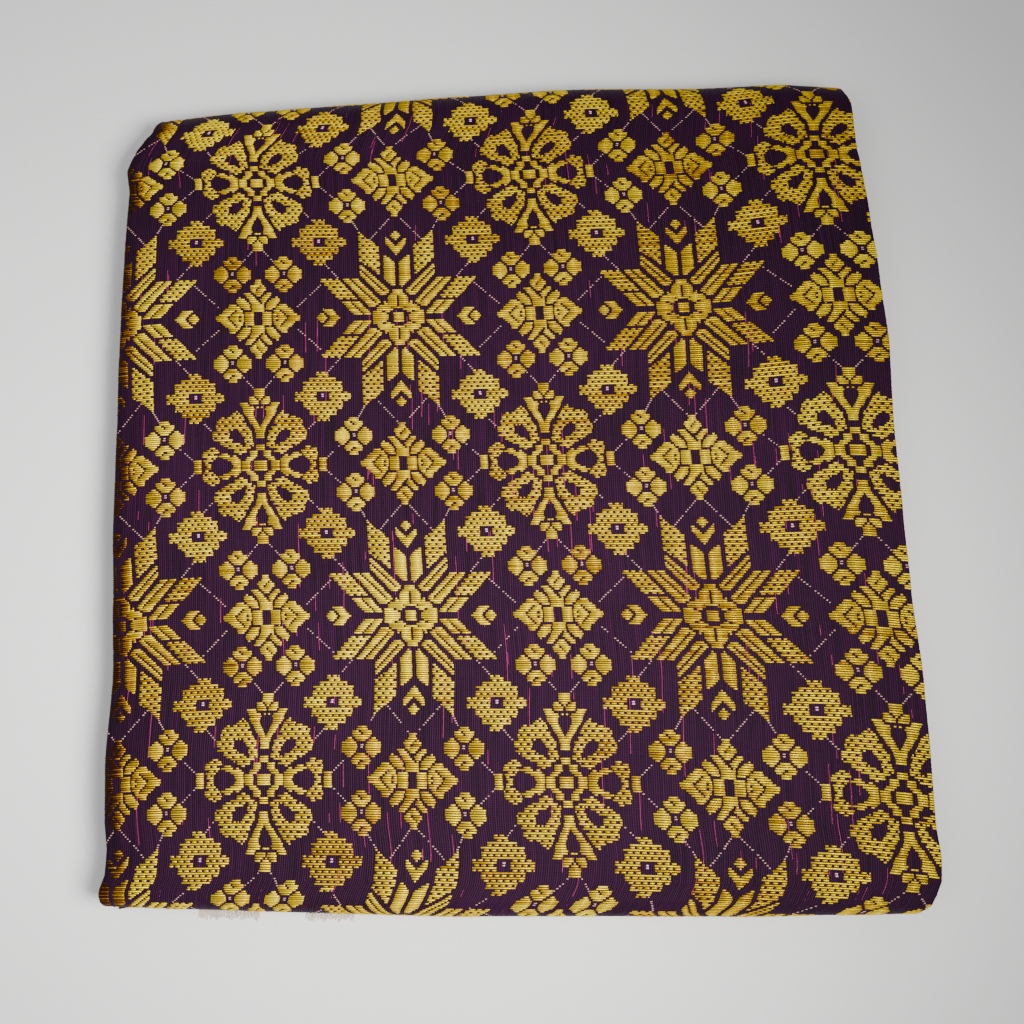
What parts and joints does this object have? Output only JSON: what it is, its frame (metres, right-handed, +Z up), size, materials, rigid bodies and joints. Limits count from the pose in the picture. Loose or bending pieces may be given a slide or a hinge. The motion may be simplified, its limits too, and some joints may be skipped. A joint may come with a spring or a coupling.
{
  "type": "folded songket cloth",
  "caption": "Folded songket cloth: one long cloth folded back and forth into a soft flat pile, with gold star and flower motifs on dark purple.",
  "frame": {"origin": "middle of the footprint on the floor, at the underside of the folded cloth", "axes": "+Z up through the layers, -Y towards the front fold that faces the camera, +X to the right seen from the front"},
  "size_m": [0.293, 0.3136, 0.0247],
  "materials": {
    "songket_cloth": "dark purple weave with gold supplementary weft motifs",
    "pale_thread": "loose pale thread"
  },
  "bodies": {
    "root": {"folded_cloth": "songket_cloth", "fringe_left": "pale_thread", "fringe_right": "pale_thread"}
  },
  "joints": []
}
